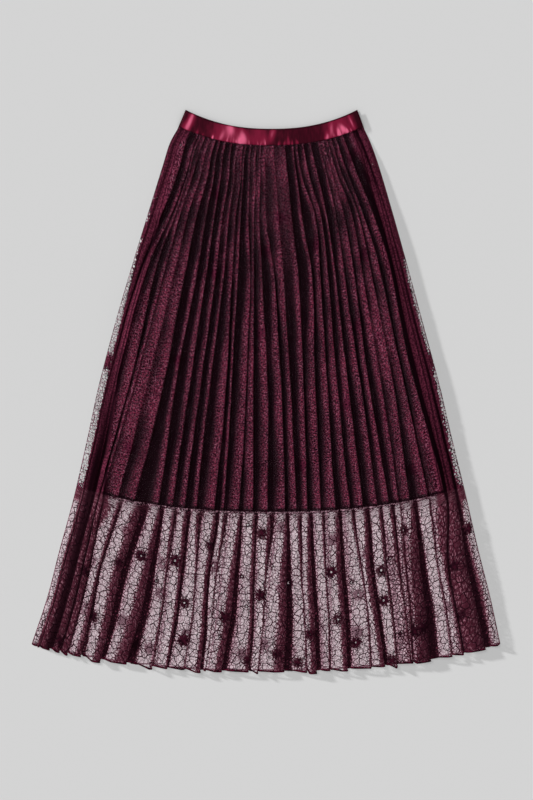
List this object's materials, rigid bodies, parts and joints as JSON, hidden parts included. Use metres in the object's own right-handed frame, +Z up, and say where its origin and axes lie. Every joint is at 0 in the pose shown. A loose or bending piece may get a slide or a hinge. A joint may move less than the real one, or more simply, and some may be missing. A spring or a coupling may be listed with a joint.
{
  "type": "pleated lace skirt",
  "caption": "Long flared pleated skirt laid flat: see-through crackle lace over a shorter burgundy lining, with a curved satin waistband.",
  "frame": {"origin": "on the surface that the skirt lies on, under the middle of its bounding box", "axes": "+Y from the hem towards the waistband, +X to the right as the front is seen, +Z up out of the front"},
  "size_m": [0.819, 0.9836, 0.0187],
  "materials": {
    "lace": "matt plum-burgundy crackle net with eyelets and star motifs",
    "lining": "softly shining plain burgundy cloth",
    "satin": "glossy burgundy satin"
  },
  "bodies": {
    "root": {"lace_front": "lace", "lace_back": "lace", "lining_front": "lining", "lining_back": "lining", "waistband_front": "satin", "waistband_back": "satin"}
  },
  "joints": []
}
